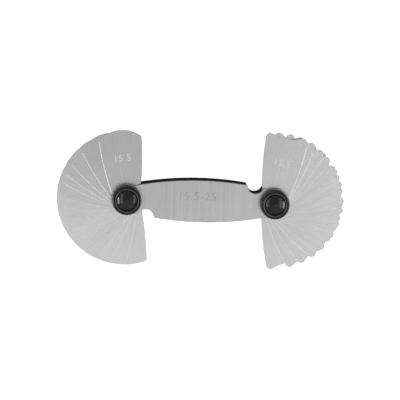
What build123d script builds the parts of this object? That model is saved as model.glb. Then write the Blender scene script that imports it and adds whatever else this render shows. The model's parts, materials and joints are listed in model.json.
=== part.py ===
from build123d import *
import math
import os

# A pocket set of radius gauges, in millimetres. Two flat covers form the handle. Fifteen leaves with
# a rounded end (for inside corners) turn on a pin at the left, and fifteen leaves with a hollow end
# (for outside corners) turn on a pin at the right. They fold into the space between the covers, and a
# black knob over each pin clamps its stack. +X runs along the handle, +Z points out of the front cover,
# and the origin lies midway between the pins on the outer face of the rear cover.

os.makedirs("parts", exist_ok=True)

# Handle covers
pin_spacing = 72.0
cover_thickness = 1.0
cover_half_width = 10.3
cover_end_radius = 7.6
cover_neck_inset = 1.5
cover_neck_blend = 3.0
cover_edge_break = 0.15
notch_radius = 3.9
notch_from_pin = 9.5
notch_off_axis = 8.5
notch_corner_radius = 0.6

# Leaves
gauge_radii = [15.5, 16, 16.5, 17, 17.5, 18, 18.5, 19, 19.5, 20, 21, 22, 23, 24, 25]
leaf_thickness = 0.5
leaf_gap = 0.04
leaf_edge_break = 0.15
side_bow_radius = 130.0
side_crown_reach = 34.0
convex_half_width = 10.5
convex_tip_reach = 34.0
concave_half_width = 10.3
concave_hollow_reach = 32.0
horn_inner_half_span = 7.6
horn_corner_cut = 1.4

# Angle of each leaf from +X, front leaf first, as the two stacks lie fanned out
convex_angles = [98, 116, 130.5, 140.5, 149, 161, 171, 182, 193, 205, 216, 227.5, 239.5, 253, 271.5]
concave_angles = [81.5, 74, 64, 55.5, 43.5, 31.5, 17, 9, -3.5, -14, -27.5, -36.5, -47, -58, -75]

# Pivot pins, one riveted flush in the rear cover at each end
pin_radius = 2.5
pin_head_radius = 3.4
pin_thread_radius = 2.0
pin_tip_chamfer = 0.4
pin_shoulder_drop = 0.1
pin_tip_drop = 0.3
running_clearance = 0.05
seat_clearance = 0.02

# Knobs, each with a brass bush and a washer under it
washer_radius = 4.6
washer_thickness = 0.3
washer_recess_radius = 5.0
seat_gap = 0.05
knob_radius = 7.0
knob_height = 4.8
knob_foot_gap = 0.2
knob_edge_round = 0.6
knob_rim_inner_radius = 5.5
knob_button_radius = 4.7
knob_groove_depth = 0.8
knob_button_sink = 0.5
knob_button_rise = 1.0
knob_pip_radius = 0.35
knob_pip_height = 0.12
knob_rim_inner_round = 0.25
flute_count = 72
flute_depth = 0.2
flute_top_inset = 0.7
bush_radius = 3.2
bush_height = 3.4
bush_groove_width = 0.9
bush_groove_depth = 0.4

# How near a radius read from the model must come to the wanted one
radius_match = 0.01

pin_x = pin_spacing / 2
leaf_pitch = leaf_thickness + leaf_gap
leaf_count = len(gauge_radii)
stack_floor = cover_thickness + leaf_gap
front_cover_z = stack_floor + leaf_count * leaf_pitch
front_face_z = front_cover_z + cover_thickness
washer_z = front_face_z + seat_gap
bush_z = washer_z + washer_thickness + seat_gap
knob_z = front_face_z + knob_foot_gap
knob_top_z = knob_z + knob_height


def turning_plane(x, z, angle=0):
    """Gives the plane at height z about a pin, with its own X axis turned by the angle."""
    along = (math.cos(math.radians(angle)), math.sin(math.radians(angle)), 0)
    return Plane(origin=(x, 0, z), x_dir=along, z_dir=(0, 0, 1))


def section_plane(x):
    """Gives the upright plane through a pin, where the turned pieces have their profiles."""
    return Plane(origin=(x, 0, 0), x_dir=(1, 0, 0), z_dir=(0, -1, 0))


def cover_outline():
    """Draws a cover: bowed long edges, round ends and two thumb notches set point to point."""
    neck_half_width = cover_end_radius - cover_neck_inset
    notch_x = pin_x - notch_from_pin
    notches = [Vector(notch_x, notch_off_axis), Vector(-notch_x, -notch_off_axis)]
    with BuildSketch() as outline:
        with BuildLine():
            left_top = (-pin_x, neck_half_width)
            right_top = (pin_x, neck_half_width)
            ThreePointArc(left_top, (0, cover_half_width), right_top)
            Line(right_top, (pin_x, -neck_half_width))
            ThreePointArc((pin_x, -neck_half_width), (0, -cover_half_width), (-pin_x, -neck_half_width))
            Line((-pin_x, -neck_half_width), left_top)
        make_face()
        with Locations((-pin_x, 0), (pin_x, 0)):
            Circle(cover_end_radius)
        necks = outline.vertices().filter_by(lambda corner: abs(corner.Y) > cover_end_radius / 2)
        fillet(necks, cover_neck_blend)
        with Locations(*notches):
            Circle(notch_radius, mode=Mode.SUBTRACT)
        for notch in notches:
            rim = outline.vertices().filter_by(
                lambda corner: abs((Vector(corner.X, corner.Y) - notch).length - notch_radius) < radius_match
            )
            fillet(rim, notch_corner_radius)
    return outline.sketch


def leaf_blank(half_width, end_reach):
    """Draws the blank that every leaf of a stack is cut from: a round end and two bowed sides."""
    bow_centre_drop = side_bow_radius - half_width
    bow_centre_distance = math.hypot(side_crown_reach, bow_centre_drop)
    root_radius = side_bow_radius - bow_centre_distance
    root_x = -root_radius * side_crown_reach / bow_centre_distance
    root_y = root_radius * bow_centre_drop / bow_centre_distance
    end_y = math.sqrt(side_bow_radius**2 - (side_crown_reach - end_reach) ** 2) - bow_centre_drop
    mid_x = (root_x + end_reach) / 2
    mid_y = math.sqrt(side_bow_radius**2 - (side_crown_reach - mid_x) ** 2) - bow_centre_drop
    with BuildSketch() as blank:
        with BuildLine():
            ThreePointArc((root_x, root_y), (mid_x, mid_y), (end_reach, end_y))
            Line((end_reach, end_y), (end_reach, -end_y))
            ThreePointArc((end_reach, -end_y), (mid_x, -mid_y), (root_x, -root_y))
            ThreePointArc((root_x, -root_y), (-root_radius, 0), (root_x, root_y))
        make_face()
        Circle(pin_radius + running_clearance, mode=Mode.SUBTRACT)
    return blank.sketch


def bowed_side_edges(leaf):
    """Finds the long edges of the two bowed sides, which are broken while the measuring end stays square."""
    sides = leaf.faces().filter_by(GeomType.CYLINDER).filter_by(
        lambda face: abs(face.radius - side_bow_radius) < radius_match
    )
    return sides.edges().filter_by(GeomType.CIRCLE)


def node_name(kind, radius):
    """Names a leaf by its kind and its radius in millimetres."""
    return f"{kind}_leaf_r{radius:g}".replace(".", "_")


def save(piece, name):
    """Labels a finished piece and writes it to its own file."""
    piece.part.label = name
    export_step(piece.part, f"parts/{name}.step")


cover_shape = cover_outline()

with BuildPart() as rear_cover:
    with BuildSketch():
        add(cover_shape)
    extrude(amount=cover_thickness)
    rims = rear_cover.faces().sort_by(Axis.Z)[0].outer_wire().edges()
    chamfer(rims, cover_edge_break)
    for x in (-pin_x, pin_x):
        with BuildSketch(section_plane(x)):
            with BuildLine():
                Polyline(
                    (0, 0),
                    (pin_head_radius + seat_clearance, 0),
                    (pin_radius + seat_clearance, cover_thickness),
                    (0, cover_thickness),
                    close=True,
                )
            make_face()
        revolve(axis=Axis((x, 0, 0), (0, 0, 1)), mode=Mode.SUBTRACT)
save(rear_cover, "rear_cover")

with BuildPart() as front_cover:
    with BuildSketch(Plane.XY.offset(front_cover_z)):
        add(cover_shape)
        with Locations((-pin_x, 0), (pin_x, 0)):
            Circle(pin_thread_radius + running_clearance, mode=Mode.SUBTRACT)
    extrude(amount=cover_thickness)
    rims = front_cover.faces().sort_by(Axis.Z)[-1].outer_wire().edges()
    chamfer(rims, cover_edge_break)
save(front_cover, "front_cover")

for number, radius in enumerate(gauge_radii):
    layer_z = stack_floor + (leaf_count - 1 - number) * leaf_pitch

    with BuildPart() as convex_leaf:
        with BuildSketch(turning_plane(-pin_x, layer_z, convex_angles[number])):
            add(leaf_blank(convex_half_width, convex_tip_reach))
            # A slot of the gauge radius, ending at the tip, trims the blank's end to a true arc.
            with Locations((convex_tip_reach / 2 - radius, 0)):
                SlotCenterToCenter(convex_tip_reach, 2 * radius, mode=Mode.INTERSECT)
        extrude(amount=leaf_thickness)
        chamfer(bowed_side_edges(convex_leaf), leaf_edge_break)
    save(convex_leaf, node_name("convex", radius))

    hollow_depth = radius - math.sqrt(radius**2 - horn_inner_half_span**2)
    with BuildPart() as concave_leaf:
        with BuildSketch(turning_plane(pin_x, layer_z, concave_angles[number])) as concave_outline:
            add(leaf_blank(concave_half_width, concave_hollow_reach + hollow_depth))
            chamfer(concave_outline.vertices().sort_by(Axis.X)[-2:], horn_corner_cut)
            with Locations((concave_hollow_reach + radius, 0)):
                Circle(radius, mode=Mode.SUBTRACT)
        extrude(amount=leaf_thickness)
        chamfer(bowed_side_edges(concave_leaf), leaf_edge_break)
    save(concave_leaf, node_name("concave", radius))

for side, x in (("left", -pin_x), ("right", pin_x)):
    turning_axis = Axis((x, 0, 0), (0, 0, 1))
    shoulder_z = front_cover_z - pin_shoulder_drop
    tip_z = bush_z + bush_height - pin_tip_drop

    with BuildPart() as pivot_pin:
        with BuildSketch(section_plane(x)):
            with BuildLine():
                Polyline(
                    (0, 0),
                    (pin_head_radius, 0),
                    (pin_radius, cover_thickness),
                    (pin_radius, shoulder_z),
                    (pin_thread_radius, shoulder_z),
                    (pin_thread_radius, tip_z - pin_tip_chamfer),
                    (pin_thread_radius - pin_tip_chamfer, tip_z),
                    (0, tip_z),
                    close=True,
                )
            make_face()
        revolve(axis=turning_axis)
    save(pivot_pin, f"{side}_pivot_pin")

    with BuildPart() as washer:
        with BuildSketch(turning_plane(x, washer_z)):
            Circle(washer_radius)
            Circle(pin_thread_radius + 2 * running_clearance, mode=Mode.SUBTRACT)
        extrude(amount=washer_thickness)
    save(washer, f"{side}_washer")

    with BuildPart() as bush:
        with BuildSketch(turning_plane(x, bush_z)):
            Circle(bush_radius)
        extrude(amount=bush_height)
        with BuildSketch(turning_plane(x, bush_z + (bush_height - bush_groove_width) / 2)):
            Circle(bush_radius)
            Circle(bush_radius - bush_groove_depth, mode=Mode.SUBTRACT)
        extrude(amount=bush_groove_width, mode=Mode.SUBTRACT)
        with BuildSketch(turning_plane(x, bush_z)):
            Circle(pin_thread_radius + running_clearance)
        extrude(amount=bush_height, mode=Mode.SUBTRACT)
    save(bush, f"{side}_knob_bush")

    button_edge_z = knob_top_z - knob_button_sink
    button_top_z = button_edge_z + knob_button_rise
    crown_radius = (knob_button_radius**2 + knob_button_rise**2) / (2 * knob_button_rise)
    with BuildPart() as knob:
        with BuildSketch(section_plane(x)):
            with BuildLine():
                Polyline(
                    (0, button_top_z),
                    (0, knob_z),
                    (knob_radius, knob_z),
                    (knob_radius, knob_top_z),
                    (knob_rim_inner_radius, knob_top_z),
                    (knob_button_radius, knob_top_z - knob_groove_depth),
                    (knob_button_radius, button_edge_z),
                )
                RadiusArc((knob_button_radius, button_edge_z), (0, button_top_z), -crown_radius)
            make_face()
        revolve(axis=turning_axis)
        rim_edges = knob.faces().filter_by(Plane.XY).sort_by(Axis.Z)[-1].edges().sort_by(SortBy.RADIUS)
        fillet(rim_edges[0], knob_rim_inner_round)
        fillet(rim_edges[-1], knob_edge_round)
        # Square cutters set corner first leave a pointed flute at each place round the side.
        with BuildSketch(turning_plane(x, knob_z)):
            with PolarLocations(knob_radius, flute_count):
                RegularPolygon(flute_depth, 4)
        extrude(amount=knob_height - flute_top_inset, mode=Mode.SUBTRACT)
        with BuildSketch(turning_plane(x, knob_z)):
            Circle(washer_recess_radius)
        extrude(amount=bush_z - knob_z, mode=Mode.SUBTRACT)
        with BuildSketch(turning_plane(x, bush_z)):
            Circle(bush_radius)
        extrude(amount=bush_height, mode=Mode.SUBTRACT)
        with BuildSketch(turning_plane(x, bush_z + (bush_height - bush_groove_width) / 2)):
            Circle(bush_radius)
            Circle(bush_radius - bush_groove_depth, mode=Mode.SUBTRACT)
        extrude(amount=bush_groove_width)
        with BuildSketch(turning_plane(x, button_top_z - knob_pip_height)):
            Circle(knob_pip_radius)
        extrude(amount=2 * knob_pip_height)
    save(knob, f"{side}_knob")
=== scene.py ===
import json
import math
import random

import bpy
from mathutils import Matrix, Vector

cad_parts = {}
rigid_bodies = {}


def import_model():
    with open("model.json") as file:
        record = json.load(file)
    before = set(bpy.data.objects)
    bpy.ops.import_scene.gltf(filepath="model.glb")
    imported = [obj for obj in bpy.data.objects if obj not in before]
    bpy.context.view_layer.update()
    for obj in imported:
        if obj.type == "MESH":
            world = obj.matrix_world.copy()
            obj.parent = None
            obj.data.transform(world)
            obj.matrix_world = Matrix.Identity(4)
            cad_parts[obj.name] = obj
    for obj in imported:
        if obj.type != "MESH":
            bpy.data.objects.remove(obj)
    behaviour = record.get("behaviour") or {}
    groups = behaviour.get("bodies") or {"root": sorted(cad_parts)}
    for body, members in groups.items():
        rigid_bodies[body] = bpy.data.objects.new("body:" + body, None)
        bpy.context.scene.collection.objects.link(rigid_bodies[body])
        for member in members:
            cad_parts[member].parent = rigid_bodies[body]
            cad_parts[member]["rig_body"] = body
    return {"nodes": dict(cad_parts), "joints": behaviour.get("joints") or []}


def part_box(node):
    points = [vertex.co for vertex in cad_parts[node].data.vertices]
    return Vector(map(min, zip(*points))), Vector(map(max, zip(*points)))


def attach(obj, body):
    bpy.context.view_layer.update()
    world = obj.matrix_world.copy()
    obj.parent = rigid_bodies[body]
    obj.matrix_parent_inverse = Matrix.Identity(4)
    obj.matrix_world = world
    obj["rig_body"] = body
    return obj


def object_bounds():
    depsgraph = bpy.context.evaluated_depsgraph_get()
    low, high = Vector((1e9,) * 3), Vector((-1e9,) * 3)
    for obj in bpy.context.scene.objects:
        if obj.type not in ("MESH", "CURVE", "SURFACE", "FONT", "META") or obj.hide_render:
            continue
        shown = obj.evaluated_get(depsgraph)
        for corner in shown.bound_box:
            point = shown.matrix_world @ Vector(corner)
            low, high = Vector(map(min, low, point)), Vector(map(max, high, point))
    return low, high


# A pocket set of radius gauges lies face up on a pale table, both stacks fanned out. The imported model
# gives the covers, leaves, pins, washers, knobs and bushes; this script adds their finishes and the
# numbers etched on them. Lengths are in metres.

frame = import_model()
cad_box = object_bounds()

MM = 0.001


# Node helpers

def feed(tree, socket, value):
    """Gives an input a fixed value, or links it to another node's output."""
    if isinstance(value, bpy.types.NodeSocket):
        tree.links.new(value, socket)
    else:
        socket.default_value = value


def add_node(tree, kind, inputs=None, **settings):
    """Adds a node, sets it up, and feeds its inputs, each known by its name or number."""
    node = tree.nodes.new(kind)
    for name, value in settings.items():
        setattr(node, name, value)
    for name, value in (inputs or {}).items():
        feed(tree, node.inputs[name], value)
    return node


def start_group(name, kind, inputs, outputs):
    """Starts a node group with named sockets; gives the tree and its input and output nodes."""
    group = bpy.data.node_groups.new(name, kind)
    for socket_name, socket_kind in inputs:
        group.interface.new_socket(socket_name, in_out="INPUT", socket_type=socket_kind)
    for socket_name, socket_kind in outputs:
        group.interface.new_socket(socket_name, in_out="OUTPUT", socket_type=socket_kind)
    return group, group.nodes.new("NodeGroupInput"), group.nodes.new("NodeGroupOutput")


def use_group(tree, group, inputs):
    """Places a shader group in a material with its own values; gives the group's one output."""
    return add_node(tree, "ShaderNodeGroup", inputs, node_tree=group).outputs[0]


def calculate(tree, operation, *numbers):
    """Works out one number from others."""
    return add_node(tree, "ShaderNodeMath", dict(enumerate(numbers)), operation=operation).outputs[0]


def multiply_parts(tree, vector, factors):
    """Multiplies each part of a vector by the same part of another."""
    return add_node(tree, "ShaderNodeVectorMath", {0: vector, 1: factors}, operation="MULTIPLY").outputs[0]


def length_of(tree, vector):
    """The length of a vector."""
    return add_node(tree, "ShaderNodeVectorMath", {0: vector}, operation="LENGTH").outputs["Value"]


def part_of(tree, vector, axis):
    """A vector's part along X, Y or Z."""
    return add_node(tree, "ShaderNodeSeparateXYZ", {0: vector}).outputs[axis]


def off_axis(tree, place):
    """Distance of a place from the Z axis."""
    return length_of(tree, multiply_parts(tree, place, (1, 1, 0)))


def ramp(tree, value, start=0.0, end=1.0, low=0.0, high=1.0):
    """Goes evenly from low to high while the value goes from start to end, and no further."""
    inputs = {"Value": value, "From Min": start, "From Max": end, "To Min": low, "To Max": high}
    return add_node(tree, "ShaderNodeMapRange", inputs).outputs[0]


def noise(tree, inputs, **settings):
    """A cloudy pattern from 0 to 1."""
    return add_node(tree, "ShaderNodeTexNoise", inputs, **settings).outputs["Fac"]


def mix_colours(tree, mask, first, second):
    """Mixes two colours by a mask. A mix node has its colours at inputs 6 and 7 and output 2."""
    inputs = {"Factor": mask, 6: first, 7: second}
    return add_node(tree, "ShaderNodeMix", inputs, data_type="RGBA").outputs[2]


def mix_values(tree, mask, first, second):
    """Mixes two values by a mask. A mix node has its plain values at inputs 2 and 3 and output 0."""
    inputs = {"Factor": mask, 2: first, 3: second}
    return add_node(tree, "ShaderNodeMix", inputs, data_type="FLOAT").outputs[0]


def tint(colour, brightness=1.0):
    """A colour for a socket, made darker or lighter."""
    return (*(brightness * part for part in colour), 1.0)


def grey(value):
    """A neutral colour."""
    return tint((value, value, value))


# Effects that several materials share

# Layers of noise in a soft pattern and in a sharp one, and how strongly the finer layers show in lines
soft_detail = 2.0
sharp_detail = 3.0
line_fineness = 0.6

# Where in the noise the lines and the marks begin to show, and where they show in full
line_contrast = (0.3, 0.7)
mark_contrast = (0.35, 0.7)

# How far up or down a normal points where a flat face ends, and where the plate is wholly edge
flat_to_edge = (0.98, 0.85)


def grinding_lines():
    """Fine parallel lines along X, as a belt leaves them on steel."""
    group, given, out = start_group(
        "grinding lines",
        "ShaderNodeTree",
        [("Place", "NodeSocketVector"), ("Length", "NodeSocketFloat"), ("Width", "NodeSocketFloat")],
        [("Lines", "NodeSocketFloat")],
    )
    per_length = calculate(group, "DIVIDE", 1.0, given.outputs["Length"])
    per_width = calculate(group, "DIVIDE", 1.0, given.outputs["Width"])
    scale = add_node(group, "ShaderNodeCombineXYZ", {"X": per_length, "Y": per_width, "Z": per_length})
    drawn_out = multiply_parts(group, given.outputs["Place"], scale.outputs[0])
    lines = noise(
        group, {"Vector": drawn_out, "Scale": 1.0, "Detail": sharp_detail, "Roughness": line_fineness}
    )
    group.links.new(ramp(group, lines, *line_contrast), out.inputs["Lines"])
    return group


def cut_edges():
    """Finds the narrow edges between the two flat faces of a plate."""
    group, given, out = start_group(
        "cut edges",
        "ShaderNodeTree",
        [("Normal", "NodeSocketVector")],
        [("Edge", "NodeSocketFloat")],
    )
    upright = calculate(group, "ABSOLUTE", part_of(group, given.outputs["Normal"], "Z"))
    group.links.new(ramp(group, upright, *flat_to_edge), out.inputs["Edge"])
    return group


def handling_marks():
    """Soft patches where fingers have dulled a face."""
    group, given, out = start_group(
        "handling marks",
        "ShaderNodeTree",
        [("Place", "NodeSocketVector"), ("Size", "NodeSocketFloat")],
        [("Marks", "NodeSocketFloat")],
    )
    per_size = calculate(group, "DIVIDE", 1.0, given.outputs["Size"])
    patches = noise(group, {"Vector": given.outputs["Place"], "Scale": per_size, "Detail": soft_detail})
    group.links.new(ramp(group, patches, *mark_contrast), out.inputs["Marks"])
    return group


def turned_rings():
    """Rings round the Z axis, as a lathe tool leaves them."""
    group, given, out = start_group(
        "turned rings",
        "ShaderNodeTree",
        [("Place", "NodeSocketVector"), ("Pitch", "NodeSocketFloat")],
        [("Rings", "NodeSocketFloat")],
    )
    place = given.outputs["Place"]
    travel = calculate(group, "ADD", off_axis(group, place), part_of(group, place, "Z"))
    turns = calculate(group, "DIVIDE", travel, given.outputs["Pitch"])
    ringed = noise(group, {"W": turns, "Scale": 1.0, "Detail": soft_detail}, noise_dimensions="1D")
    group.links.new(ringed, out.inputs["Rings"])
    return group


grinding = grinding_lines()
edges = cut_edges()
handling = handling_marks()
rings = turned_rings()


# Building a material

grain_height = 0.02 * MM


def new_material(name):
    """Starts a material; gives it and its node tree."""
    material = bpy.data.materials.new(name)
    material.use_nodes = True
    return material, material.node_tree


def centred(tree, centre=(0, 0, 0), turn=0.0):
    """Places on a piece, counted from its centre and along its own direction."""
    coordinates = add_node(tree, "ShaderNodeTexCoord")
    return add_node(
        tree,
        "ShaderNodeMapping",
        {"Vector": coordinates.outputs["Object"], "Location": centre, "Rotation": (0, 0, turn)},
        vector_type="TEXTURE",
    ).outputs[0]


def normal_of(tree):
    """The way a face looks, as its normal."""
    return add_node(tree, "ShaderNodeTexCoord").outputs["Normal"]


def relief(tree, height, strength):
    """Shallow relief that follows a pattern."""
    inputs = {"Height": height, "Strength": strength, "Distance": grain_height}
    return add_node(tree, "ShaderNodeBump", inputs).outputs[0]


def dress(tree, inputs):
    """Feeds the surface shader of a material."""
    surface = tree.nodes["Principled BSDF"]
    for name, value in inputs.items():
        feed(tree, surface.inputs[name], value)


# Ground steel. The fine lines and the finger marks have a size, a share by which they show, and a
# brightness against the plain steel. The broad lines are its streaks: leaves and covers each say how far
# their tone strays along them, and how strongly the grain stands out in relief.

fine_line_length = 9 * MM
fine_line_width = 0.12 * MM
fine_line_share = 0.35
fine_line_brightness = 1.12
broad_line_length = 30 * MM
broad_line_width = 0.9 * MM
finger_mark_size = 12 * MM
finger_mark_share = 0.25
finger_mark_brightness = 0.9
ground_roughness = (0.24, 0.3)


def ground_face(tree, place, tone, streaks):
    """Colour, roughness and grain of a steel face ground along X."""
    fine = use_group(
        tree, grinding, {"Place": place, "Length": fine_line_length, "Width": fine_line_width}
    )
    broad = use_group(
        tree, grinding, {"Place": place, "Length": broad_line_length, "Width": broad_line_width}
    )
    marks = use_group(tree, handling, {"Place": place, "Size": finger_mark_size})
    streaked = mix_colours(tree, broad, grey(tone * (1 - streaks)), grey(tone * (1 + streaks)))
    lined = mix_colours(
        tree, ramp(tree, fine, high=fine_line_share), streaked, grey(tone * fine_line_brightness)
    )
    marked = mix_colours(
        tree, ramp(tree, marks, high=finger_mark_share), lined, grey(tone * finger_mark_brightness)
    )
    return marked, mix_values(tree, fine, *ground_roughness), fine


# Leaves. The tones of their edges are shares of their own tone, and are painted light and shade: a painted
# highlight on the edge by which a leaf is opened, painted shade on the other edge and at the tip. They
# blend into one another about the leaf's middle line and at its tip. From the start of the tip on, counted
# from the pin, an edge belongs to the measuring end.

leaf_streaks = 0.05
leaf_grain = 0.05
leaf_edge_roughness = 0.26
painted_shade_edge_share = 0.5
painted_highlight_base_share = 0.76
painted_highlight_gain = 0.49
edge_blend = 1 * MM
leaf_tip_start = 31.8 * MM


def leaf_steel(name, centre, turn, tone, painted_highlight_share, open_side):
    """Satin steel ground along the leaf. The edge on its open side has a painted highlight, while the
    other edge and the measuring end have painted shade."""
    material, tree = new_material(name)
    place = centred(tree, centre, turn)
    face, roughness, grain = ground_face(tree, place, tone, leaf_streaks)
    edge = use_group(tree, edges, {"Normal": normal_of(tree)})
    opened = ramp(tree, part_of(tree, place, "Y"), -open_side * edge_blend, open_side * edge_blend)
    tip = ramp(tree, length_of(tree, place), leaf_tip_start, leaf_tip_start + edge_blend)
    # Painted shade on the closed edge and the tip, painted highlight on the open edge
    dark = grey(tone * painted_shade_edge_share)
    painted_highlight_colour = grey(tone * (painted_highlight_base_share + painted_highlight_gain * painted_highlight_share))
    painted_edge_colour = mix_colours(tree, tip, mix_colours(tree, opened, dark, painted_highlight_colour), dark)
    dress(
        tree,
        {
            "Base Color": mix_colours(tree, edge, face, painted_edge_colour),
            "Roughness": mix_values(tree, edge, roughness, leaf_edge_roughness),
            "Metallic": 1.0,
            "Normal": relief(tree, grain, leaf_grain),
        },
    )
    return material


# Covers. A face turns black as its normal turns away from the outside: painted shade for the shadow in
# the gap between the covers, also on their edges.

cover_tone = 0.62
cover_streaks = 0.09
cover_grain = 0.08
face_to_painted_shade = (0.9, 0.6)
painted_shade_tones = (0.006, 0.012)
painted_shade_roughness = 0.6
painted_shade_metallic = 0.2


def cover_steel(name, outer_side):
    """Satin steel ground across the handle. Its edges and its inner face are painted near-black as shade.
    """
    material, tree = new_material(name)
    place = centred(tree, turn=math.pi / 2)
    face, roughness, grain = ground_face(tree, place, cover_tone, cover_streaks)
    outward = calculate(tree, "MULTIPLY", part_of(tree, normal_of(tree), "Z"), outer_side)
    # Painted shade: faces turned away from the outside go near-black
    black = ramp(tree, outward, *face_to_painted_shade)
    painted_shade_colour = mix_colours(tree, grain, *(grey(tone) for tone in painted_shade_tones))
    dress(
        tree,
        {
            "Base Color": mix_colours(tree, black, face, painted_shade_colour),
            "Roughness": mix_values(tree, black, roughness, painted_shade_roughness),
            "Metallic": ramp(tree, black, low=1.0, high=painted_shade_metallic),
            "Normal": relief(tree, grain, cover_grain),
        },
    )
    return material


# Turned pins, washers and bushes. The rings change the metal's brightness and its roughness by a share.

stainless_colour = (0.62, 0.61, 0.60)
brass_colour = (0.80, 0.58, 0.28)
pin_roughness = 0.3
washer_roughness = 0.32
bush_roughness = 0.28
ring_pitch = 0.08 * MM
ring_grain = 0.15
ring_darkening = 0.85
ring_smoothing = 0.85
ring_roughening = 1.2


def turned_metal(name, centre, colour, roughness):
    """Metal turned on a lathe, with faint rings round its axis."""
    material, tree = new_material(name)
    ringed = use_group(tree, rings, {"Place": centred(tree, centre), "Pitch": ring_pitch})
    dress(
        tree,
        {
            "Base Color": mix_colours(tree, ringed, tint(colour, ring_darkening), tint(colour)),
            "Roughness": mix_values(tree, ringed, roughness * ring_smoothing, roughness * ring_roughening),
            "Metallic": 1.0,
            "Normal": relief(tree, ringed, ring_grain),
        },
    )
    return material


# Knobs. The fluted wall is known by its sideways normals, the gate mark is the mould's small scar in the
# middle, and a light ring round the inner edge of the rim is a painted highlight, fainter under finger
# marks.

plastic_ior = 1.42
clean_plastic = (0.003, 0.003, 0.004)
handled_plastic = (0.007, 0.007, 0.009)
wall_plastic = (0.004, 0.004, 0.005)
gate_plastic = (0.05, 0.05, 0.055)
painted_rim_highlight = (0.11, 0.11, 0.115)
top_roughness = (0.10, 0.17)
wall_roughness = 0.6
top_to_wall = (0.6, 0.3)
thumb_mark_size = 3 * MM
skin_size = 0.25 * MM
skin_grain = 0.05
outside_to_gate = (0.35 * MM, 0.25 * MM)
rim_highlight_radius = 5.5 * MM
rim_highlight_width = 0.3 * MM
rim_highlight_under_marks = 0.3


def moulded_plastic(name, centre):
    """Glossy black plastic from a mould, dull on the fluted wall that fingers grip, with a painted
    highlight round the inner edge of the rim."""
    material, tree = new_material(name)
    place = centred(tree, centre)
    marks = use_group(tree, handling, {"Place": place, "Size": thumb_mark_size})
    skin = noise(tree, {"Vector": place, "Scale": 1 / skin_size, "Detail": soft_detail})
    wall = ramp(tree, part_of(tree, normal_of(tree), "Z"), *top_to_wall)
    radius = off_axis(tree, place)
    gate = ramp(tree, radius, *outside_to_gate)
    # A painted highlight: a light ring at the inner edge of the rim
    beside_ring = calculate(tree, "ABSOLUTE", calculate(tree, "SUBTRACT", radius, rim_highlight_radius))
    ring = ramp(tree, beside_ring, rim_highlight_width, rim_highlight_width / 2)
    rim_highlight_mask = calculate(tree, "MULTIPLY", ring, ramp(tree, marks, low=1.0, high=rim_highlight_under_marks))
    top = mix_colours(tree, marks, tint(clean_plastic), tint(handled_plastic))
    moulded = mix_colours(tree, gate, top, tint(gate_plastic))
    gripped = mix_colours(tree, wall, moulded, tint(wall_plastic))
    moulded_roughness = mix_values(tree, marks, *top_roughness)
    dress(
        tree,
        {
            "Base Color": mix_colours(tree, rim_highlight_mask, gripped, tint(painted_rim_highlight)),
            "Roughness": mix_values(tree, wall, moulded_roughness, wall_roughness),
            "IOR": plastic_ior,
            "Normal": relief(tree, skin, skin_grain),
        },
    )
    return material


# Etched numbers, which the acid leaves frosted, darker and lighter from grain to grain

leaf_etch_tone = 0.71
cover_etch_tone = 0.42
frost_size = 0.1 * MM
frost_contrast = 0.05
frost_roughness = (0.5, 0.7)


def etched_steel(name, tone):
    """The frosted bottom of an etched number."""
    material, tree = new_material(name)
    frost = noise(tree, {"Vector": centred(tree), "Scale": 1 / frost_size, "Detail": sharp_detail})
    dark = grey(tone * (1 - frost_contrast))
    light = grey(tone * (1 + frost_contrast))
    dress(
        tree,
        {
            "Base Color": mix_colours(tree, frost, dark, light),
            "Roughness": mix_values(tree, frost, *frost_roughness),
            "Metallic": 1.0,
        },
    )
    return material


# Finishes on the covers, pins, washers, bushes and knobs

def finish_node(node, material):
    """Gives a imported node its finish, in every slot that it has."""
    for held in frame["nodes"][node].material_slots:
        held.material = material


def pin_centre(side):
    """The pin's axis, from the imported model."""
    low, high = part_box(f"{side}_pivot_pin")
    return Vector(((low.x + high.x) / 2, (low.y + high.y) / 2, 0))


finish_node("front_cover", cover_steel("front_cover_steel", 1))
finish_node("rear_cover", cover_steel("rear_cover_steel", -1))
for side in ("left", "right"):
    centre = pin_centre(side)
    pin_steel = turned_metal(f"{side}_pin_steel", centre, stainless_colour, pin_roughness)
    washer_steel = turned_metal(f"{side}_washer_steel", centre, stainless_colour, washer_roughness)
    bush_brass = turned_metal(f"{side}_bush_brass", centre, brass_colour, bush_roughness)
    finish_node(f"{side}_pivot_pin", pin_steel)
    finish_node(f"{side}_washer", washer_steel)
    finish_node(f"{side}_knob_bush", bush_brass)
    finish_node(f"{side}_knob", moulded_plastic(f"{side}_knob_plastic", centre))


# Shapes of the etched numbers. Each is a thin solid that sits in its face by its root and stands out of
# it by its rise, so that no plane of it lies in the face.

leaf_digit_height = 3.2 * MM
cover_digit_height = 3.9 * MM
digit_height_of_font_size = 0.70
digit_spacing = 1.12
number_reach = 20 * MM
cover_number_x = -1.8 * MM
cover_number_y = 2.4 * MM
etch_rise = 0.012 * MM
etch_root = 0.004 * MM
weld_distance = 0.0001 * MM


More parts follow.
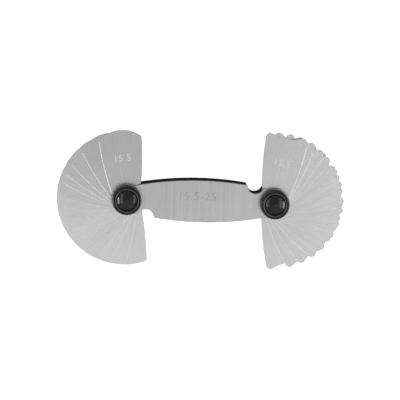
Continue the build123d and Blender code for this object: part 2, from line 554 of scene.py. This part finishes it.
def number_maker():
    """Geometry nodes that set a number, fill it, give it its thickness and lay it on a face."""
    group, given, out = start_group(
        "etched number",
        "GeometryNodeTree",
        [
            ("Geometry", "NodeSocketGeometry"),
            ("Number", "NodeSocketString"),
            ("Font Size", "NodeSocketFloat"),
            ("Spacing", "NodeSocketFloat"),
            ("Thickness", "NodeSocketFloat"),
            ("Place", "NodeSocketVector"),
            ("Turn", "NodeSocketRotation"),
            ("Material", "NodeSocketMaterial"),
        ],
        [("Geometry", "NodeSocketGeometry")],
    )
    digits = add_node(
        group,
        "GeometryNodeStringToCurves",
        {
            "String": given.outputs["Number"],
            "Size": given.outputs["Font Size"],
            "Character Spacing": given.outputs["Spacing"],
        },
        align_x="CENTER",
        align_y="MIDDLE",
    )
    strokes = add_node(group, "GeometryNodeRealizeInstances", {0: digits.outputs["Curve Instances"]})
    faces = add_node(group, "GeometryNodeFillCurve", {"Curve": strokes.outputs[0]})
    raised = add_node(
        group,
        "GeometryNodeExtrudeMesh",
        {
            "Mesh": faces.outputs["Mesh"],
            "Offset": (0, 0, 1),
            "Offset Scale": given.outputs["Thickness"],
            "Individual": False,
        },
    )
    underside = add_node(group, "GeometryNodeFlipFaces", {"Mesh": faces.outputs["Mesh"]})
    closed = add_node(group, "GeometryNodeJoinGeometry")
    group.links.new(raised.outputs["Mesh"], closed.inputs[0])
    group.links.new(underside.outputs[0], closed.inputs[0])
    welded = add_node(
        group, "GeometryNodeMergeByDistance", {"Geometry": closed.outputs[0], "Distance": weld_distance}
    )
    laid = add_node(
        group,
        "GeometryNodeTransform",
        {
            "Geometry": welded.outputs[0],
            "Translation": given.outputs["Place"],
            "Rotation": given.outputs["Turn"],
        },
    )
    single = add_node(group, "GeometryNodeRealizeInstances", {0: laid.outputs[0]})
    finished = add_node(
        group,
        "GeometryNodeSetMaterial",
        {"Geometry": single.outputs[0], "Material": given.outputs["Material"]},
    )
    group.links.new(finished.outputs[0], out.inputs["Geometry"])
    return group


def make_with_nodes(name, group, values):
    """Runs a geometry nodes group with these values and keeps the plain mesh that comes out."""
    maker = bpy.data.objects.new(name + "_maker", bpy.data.meshes.new(name + "_maker"))
    bpy.context.scene.collection.objects.link(maker)
    modifier = maker.modifiers.new("maker", "NODES")
    modifier.node_group = group
    for item in group.interface.items_tree:
        if item.item_type == "SOCKET" and item.in_out == "INPUT" and item.name in values:
            modifier[item.identifier] = values[item.name]
    bpy.context.view_layer.update()
    evaluated = maker.evaluated_get(bpy.context.evaluated_depsgraph_get())
    mesh = bpy.data.meshes.new_from_object(evaluated)
    maker.modifiers.remove(modifier)
    bpy.data.objects.remove(maker)
    piece = bpy.data.objects.new(name, mesh)
    bpy.context.scene.collection.objects.link(piece)
    return piece


numbers = number_maker()


def etch(name, number, digit_height, material, spot, turn, body):
    """Etches a number about a spot on an upward face, for the body that carries the face."""
    x, y, face_z = spot
    piece = make_with_nodes(
        name,
        numbers,
        {
            "Number": number,
            "Font Size": digit_height / digit_height_of_font_size,
            "Spacing": digit_spacing,
            "Thickness": etch_root + etch_rise,
            "Place": (x, y, face_z - etch_root),
            "Turn": (0, 0, turn),
            "Material": material,
        },
    )
    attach(piece, body)


# Stacks of leaves: for each the side of its pin, the way a folded leaf points, the side of a leaf by
# which thumbs open it, and the tones of its front leaf and of its inner leaves. A darker front tone is
# painted shade. Tone and painted edge highlight change over the outer leaves, and each leaf strays a
# little from its tone.

stacks = {
    "convex": ("left", 0, 1, 0.61, 0.745),
    "concave": ("right", math.pi, -1, 0.685, 0.69),
}
outer_leaves = 8
tone_spread = 0.012
painted_highlight_fade = 1.5
chance = random.Random(15)
swings = {joint["child"]: joint for joint in frame["joints"]}
leaf_etching = etched_steel("leaf_number_steel", leaf_etch_tone)

for kind, (side, folded, open_side, front_painted_shade_tone, inner_tone) in stacks.items():
    leaves = [node for node in frame["nodes"] if node.startswith(f"{kind}_leaf_r")]
    leaves.sort(key=lambda node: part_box(node)[1].z, reverse=True)
    centre = pin_centre(side)
    for depth, node in enumerate(leaves):
        body = frame["nodes"][node]["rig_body"]
        turn = folded - math.radians(swings[body]["range_deg"][0])
        share = min(depth / outer_leaves, 1.0)
        # The front leaves' darker tone is painted shade, fading into the inner tone
        tone = front_painted_shade_tone + share * (inner_tone - front_painted_shade_tone) + chance.uniform(-1, 1) * tone_spread
        # The painted edge highlight is strongest on the front leaf and fades over the outer leaves
        painted_highlight_share = (1 - share) ** painted_highlight_fade
        finish_node(node, leaf_steel(node + "_steel", centre, turn, tone, painted_highlight_share, open_side))
        radius = node.rsplit("_r", 1)[1]
        middle = centre + number_reach * Vector((math.cos(turn), math.sin(turn), 0))
        etch(
            f"{kind}_number_{radius}",
            radius.replace("_", "."),
            leaf_digit_height,
            leaf_etching,
            (middle.x, middle.y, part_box(node)[1].z),
            turn - math.pi / 2,
            body,
        )

etch(
    "cover_range_number",
    "15.5-25",
    cover_digit_height,
    etched_steel("cover_number_steel", cover_etch_tone),
    (cover_number_x, cover_number_y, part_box("front_cover")[1].z),
    0.0,
    "case",
)


# Table, pale by its own glow as well as by the lamps

table_half = 1.2
table_tone = 0.9
table_roughness = 0.9
table_glow = 0.75


def lay_table():
    """A plain pale table that the rear cover lies on."""
    mesh = bpy.data.meshes.new("table")
    corners = [
        (x * table_half, y * table_half, cad_box[0].z) for x, y in ((-1, -1), (1, -1), (1, 1), (-1, 1))
    ]
    mesh.from_pydata(corners, [], [(0, 1, 2, 3)])
    table = bpy.data.objects.new("table", mesh)
    bpy.context.scene.collection.objects.link(table)
    paper, tree = new_material("table_paper")
    dress(
        tree,
        {
            "Base Color": grey(table_tone),
            "Roughness": table_roughness,
            "Emission Color": grey(1.0),
            "Emission Strength": table_glow,
        },
    )
    mesh.materials.append(paper)


# Light: for each soft box its place, its two sizes, its power in watts and the point it is aimed at

soft_boxes = {
    "key_box": ((0.03, -0.42, 0.75), (1.4, 0.6), 0.85, (0, 0, 0)),
    "right_ceiling": ((0.45, -0.05, 0.75), (0.3, 0.6), 0.2, (0, 0, 0)),
    "left_strip": ((-0.28, -0.06, 0.30), (0.20, 0.03), 0.26, (0, -0.06, 0)),
    "right_strip": ((0.31, -0.04, 0.26), (0.20, 0.03), 0.26, (0, -0.04, 0)),
    "left_box": ((-0.23, 0.02, 0.42), (0.36, 0.08), 0.2, (0, 0.02, 0)),
    "right_box": ((0.29, 0.02, 0.42), (0.36, 0.08), 0.2, (0, 0.02, 0)),
    "left_wall": ((-0.69, -0.43, 0.10), (1.15, 0.22), 1.5, (0, 0, 0)),
    "right_wall": ((0.74, -0.34, 0.10), (0.95, 0.22), 1.2, (0, 0, 0)),
    "front_wall": ((0.0, -0.80, 0.10), (0.90, 0.22), 0.9, (0, 0, 0)),
}

# The room's own light, at the foot of its walls and on its ceiling, and how far up a direction points
# where the ceiling starts
wall_foot_strength = 0.25
ceiling_strength = 0.495
ceiling_from = 0.7


def hang_light(name, place, size, power, aim):
    """A soft box aimed at the gauge, out of the camera's sight."""
    lamp = bpy.data.lights.new(name, "AREA")
    lamp.shape = "RECTANGLE"
    lamp.size, lamp.size_y = size
    lamp.energy = power
    light = bpy.data.objects.new(name, lamp)
    light.location = place
    light.rotation_euler = (Vector(aim) - Vector(place)).to_track_quat("-Z", "Y").to_euler()
    light.visible_camera = False
    bpy.context.scene.collection.objects.link(light)


def fill_room():
    """Even light from a white ceiling, over walls that are darker towards the floor."""
    world = bpy.data.worlds.new("room")
    world.use_nodes = True
    tree = world.node_tree
    direction = add_node(tree, "ShaderNodeTexCoord").outputs["Generated"]
    height = part_of(tree, direction, "Z")
    strength = ramp(tree, height, end=ceiling_from, low=wall_foot_strength, high=ceiling_strength)
    background = tree.nodes["Background"]
    feed(tree, background.inputs["Strength"], strength)
    feed(tree, background.inputs["Color"], grey(1.0))
    bpy.context.scene.world = world


# Camera: the picture as measured on the front cover's face

picture_width = 194.5 * MM
picture_pixels = 400
camera_distance = 1043.75 * MM
camera_lean_x = -0.0684
camera_lean_y = 0.1613
camera_roll = math.radians(2.3)
middle_right_of_centre_px = 0.74
middle_below_centre_px = 1.63
nearest_seen = 10 * MM


def set_camera():
    """Looks down on the gauge from a little beyond its upper edge and its left end, as the photograph
    does."""
    pixel = picture_width / picture_pixels
    back = Vector((camera_lean_x, camera_lean_y, 1)).normalized()
    up_hint = Vector((-math.sin(camera_roll), math.cos(camera_roll), 0))
    right = up_hint.cross(back).normalized()
    up = back.cross(right)
    face = Vector((0, 0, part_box("front_cover")[1].z))
    aim = face - right * middle_right_of_centre_px * pixel + up * middle_below_centre_px * pixel
    camera = bpy.data.objects.new("camera", bpy.data.cameras.new("camera"))
    camera.data.lens = camera.data.sensor_width * camera_distance / picture_width
    camera.data.clip_start = nearest_seen
    turn = Matrix((right, up, back)).transposed().to_4x4()
    camera.matrix_world = Matrix.Translation(aim + back * camera_distance) @ turn
    bpy.context.scene.collection.objects.link(camera)
    bpy.context.scene.camera = camera


lay_table()
fill_room()
for name, (place, size, power, aim) in soft_boxes.items():
    hang_light(name, place, size, power, aim)
set_camera()
bpy.context.scene.view_settings.view_transform = "Standard"
